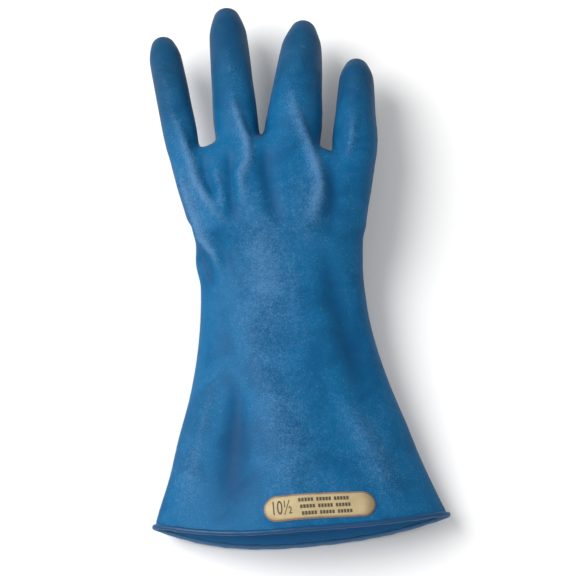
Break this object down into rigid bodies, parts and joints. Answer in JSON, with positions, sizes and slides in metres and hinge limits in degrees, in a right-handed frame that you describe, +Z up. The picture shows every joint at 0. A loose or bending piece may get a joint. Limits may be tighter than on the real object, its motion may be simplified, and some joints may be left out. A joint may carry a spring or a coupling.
{
  "type": "electrical insulating glove",
  "caption": "Long rubber electrician's glove for the right hand, lying palm down, with a flared gauntlet, rolled cuff bead, size label and bending fingers and wrist.",
  "frame": {"origin": "centre of the bounding box in X and Y, on the surface that the glove lies on", "axes": "+Y from the cuff to the fingertips, +X to the little finger's side, +Z up out of the back of the hand"},
  "size_m": [0.1788, 0.3577, 0.0641],
  "materials": {
    "rubber_wall": "satin blue dipped rubber with a pale powdery bloom on its high places",
    "rubber_fold": "the same dipped rubber, darker in its folds",
    "rubber_bead": "smooth rolled rubber rim, slightly glossier",
    "label": "matt beige label with a dark printed size and plain dark bars"
  },
  "bodies": {
    "gauntlet": {"gauntlet_shell": "rubber_wall", "cuff_bead": "rubber_bead", "size_label": "label", "wrist_flex_band": "rubber_fold"},
    "hand": {"hand_shell": "rubber_wall", "index_knuckle_band": "rubber_fold", "middle_knuckle_band": "rubber_fold", "ring_knuckle_band": "rubber_fold", "little_knuckle_band": "rubber_fold", "thumb_root_band": "rubber_fold"},
    "index_base": {"index_base": "rubber_wall", "index_middle_band": "rubber_fold"},
    "index_middle": {"index_middle": "rubber_wall", "index_tip_band": "rubber_fold"},
    "index_tip": {"index_tip": "rubber_wall"},
    "middle_base": {"middle_base": "rubber_wall", "middle_middle_band": "rubber_fold"},
    "middle_middle": {"middle_middle": "rubber_wall", "middle_tip_band": "rubber_fold"},
    "middle_tip": {"middle_tip": "rubber_wall"},
    "ring_base": {"ring_base": "rubber_wall", "ring_middle_band": "rubber_fold"},
    "ring_middle": {"ring_middle": "rubber_wall", "ring_tip_band": "rubber_fold"},
    "ring_tip": {"ring_tip": "rubber_wall"},
    "little_base": {"little_base": "rubber_wall", "little_middle_band": "rubber_fold"},
    "little_middle": {"little_middle": "rubber_wall", "little_tip_band": "rubber_fold"},
    "little_tip": {"little_tip": "rubber_wall"},
    "thumb_base": {"thumb_base": "rubber_wall", "thumb_tip_band": "rubber_fold"},
    "thumb_tip": {"thumb_tip": "rubber_wall"}
  },
  "joints": [
    {"name": "wrist_bend", "type": "hinge", "parent": "gauntlet", "child": "hand", "pos_m": [0.00075, -0.011, 0.033], "axis": [-1, 0, 0], "range_deg": [-30, 40], "stiffness_Nm_per_rad": 0.3, "deforming": ["wrist_flex_band"]},
    {"name": "index_knuckle", "type": "hinge", "parent": "hand", "child": "index_base", "pos_m": [-0.0545, 0.078, 0.042], "axis": [-0.9945, -0.1045, 0], "range_deg": [-15, 80], "stiffness_Nm_per_rad": 0.08, "deforming": ["index_knuckle_band"]},
    {"name": "index_middle_bend", "type": "hinge", "parent": "index_base", "child": "index_middle", "pos_m": [-0.05815, 0.11272, 0.03956], "axis": [-0.9945, -0.1045, 0], "range_deg": [-10, 50], "stiffness_Nm_per_rad": 0.05, "deforming": ["index_middle_band"]},
    {"name": "index_tip_bend", "type": "hinge", "parent": "index_middle", "child": "index_tip", "pos_m": [-0.06083, 0.13819, 0.03504], "axis": [-0.9945, -0.1045, 0], "range_deg": [-5, 25], "deforming": ["index_tip_band"]},
    {"name": "middle_knuckle", "type": "hinge", "parent": "hand", "child": "middle_base", "pos_m": [-0.0195, 0.081, 0.042], "axis": [-1, 0, 0], "range_deg": [-15, 80], "stiffness_Nm_per_rad": 0.08, "deforming": ["middle_knuckle_band"]},
    {"name": "middle_middle_bend", "type": "hinge", "parent": "middle_base", "child": "middle_middle", "pos_m": [-0.0195, 0.1219, 0.03914], "axis": [-1, 0, 0], "range_deg": [-10, 50], "stiffness_Nm_per_rad": 0.05, "deforming": ["middle_middle_band"]},
    {"name": "middle_tip_bend", "type": "hinge", "parent": "middle_middle", "child": "middle_tip", "pos_m": [-0.0195, 0.15243, 0.03376], "axis": [-1, 0, 0], "range_deg": [-5, 25], "deforming": ["middle_tip_band"]},
    {"name": "ring_knuckle", "type": "hinge", "parent": "hand", "child": "ring_base", "pos_m": [0.0172, 0.0755, 0.042], "axis": [-0.9848, 0.1736, 0], "range_deg": [-15, 80], "stiffness_Nm_per_rad": 0.08, "deforming": ["ring_knuckle_band"]},
    {"name": "ring_middle_bend", "type": "hinge", "parent": "ring_base", "child": "ring_middle", "pos_m": [0.0237, 0.11234, 0.03938], "axis": [-0.9848, 0.1736, 0], "range_deg": [-10, 50], "stiffness_Nm_per_rad": 0.05, "deforming": ["ring_middle_band"]},
    {"name": "ring_tip_bend", "type": "hinge", "parent": "ring_middle", "child": "ring_tip", "pos_m": [0.02857, 0.13998, 0.03444], "axis": [-0.9848, 0.1736, 0], "range_deg": [-5, 25], "deforming": ["ring_tip_band"]},
    {"name": "little_knuckle", "type": "hinge", "parent": "hand", "child": "little_base", "pos_m": [0.054, 0.065, 0.0405], "axis": [-0.9925, 0.1219, 0], "range_deg": [-15, 80], "stiffness_Nm_per_rad": 0.08, "deforming": ["little_knuckle_band"]},
    {"name": "little_middle_bend", "type": "hinge", "parent": "little_base", "child": "little_middle", "pos_m": [0.0574, 0.09272, 0.03855], "axis": [-0.9925, 0.1219, 0], "range_deg": [-10, 50], "stiffness_Nm_per_rad": 0.05, "deforming": ["little_middle_band"]},
    {"name": "little_tip_bend", "type": "hinge", "parent": "little_middle", "child": "little_tip", "pos_m": [0.05992, 0.11325, 0.0349], "axis": [-0.9925, 0.1219, 0], "range_deg": [-5, 25], "deforming": ["little_tip_band"]},
    {"name": "thumb_root", "type": "hinge", "parent": "hand", "child": "thumb_base", "pos_m": [-0.034, 0.025, 0.0118], "axis": [0, 0, -1], "range_deg": [-100, 0], "stiffness_Nm_per_rad": 0.08, "deforming": ["thumb_root_band"]},
    {"name": "thumb_tip_bend", "type": "hinge", "parent": "thumb_base", "child": "thumb_tip", "pos_m": [-0.00205, 0.03663, 0.0118], "axis": [0, 0, -1], "range_deg": [-15, 45], "stiffness_Nm_per_rad": 0.05, "deforming": ["thumb_tip_band"]}
  ],
  "couplings": [
    {"joint": "index_tip_bend", "follows": "index_middle_bend", "ratio": 0.5},
    {"joint": "middle_tip_bend", "follows": "middle_middle_bend", "ratio": 0.5},
    {"joint": "ring_tip_bend", "follows": "ring_middle_bend", "ratio": 0.5},
    {"joint": "little_tip_bend", "follows": "little_middle_bend", "ratio": 0.5}
  ]
}
